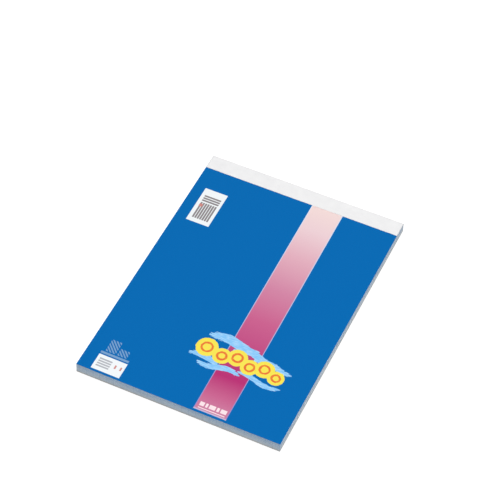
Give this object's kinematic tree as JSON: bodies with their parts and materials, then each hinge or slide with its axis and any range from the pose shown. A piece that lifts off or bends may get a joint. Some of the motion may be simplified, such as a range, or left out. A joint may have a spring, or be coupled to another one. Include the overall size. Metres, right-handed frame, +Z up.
{
  "type": "legal pad",
  "caption": "Writing pad bound at the head: square-ruled sheets between a glossy printed card cover that folds back and a grey board, under a folded strip of white paper tape.",
  "frame": {"origin": "on the surface that the pad lies on, under the middle of its outline", "axes": "+X across the width, +Y along the length towards the bound head, +Z up through the pad to the front cover"},
  "size_m": [0.148, 0.2102, 0.0079],
  "materials": {
    "tape": "smooth white paper tape",
    "cover": "glossy blue printed card",
    "sheets": "smooth white writing paper",
    "board": "uncoated grey board",
    "wire": "bright galvanised wire"
  },
  "bodies": {
    "pad": {"back_board": "board", "sheet_block": "sheets", "cover_margin": "cover", "binding_tape": "tape", "staple_left": "wire", "staple_right": "wire"},
    "cover": {"front_cover": "cover"}
  },
  "joints": [
    {"name": "cover_hinge", "type": "hinge", "parent": "pad", "child": "cover", "pos_m": [0, 0.09225, 0.00785], "axis": [-1, 0, 0], "range_deg": [0, 180]}
  ]
}
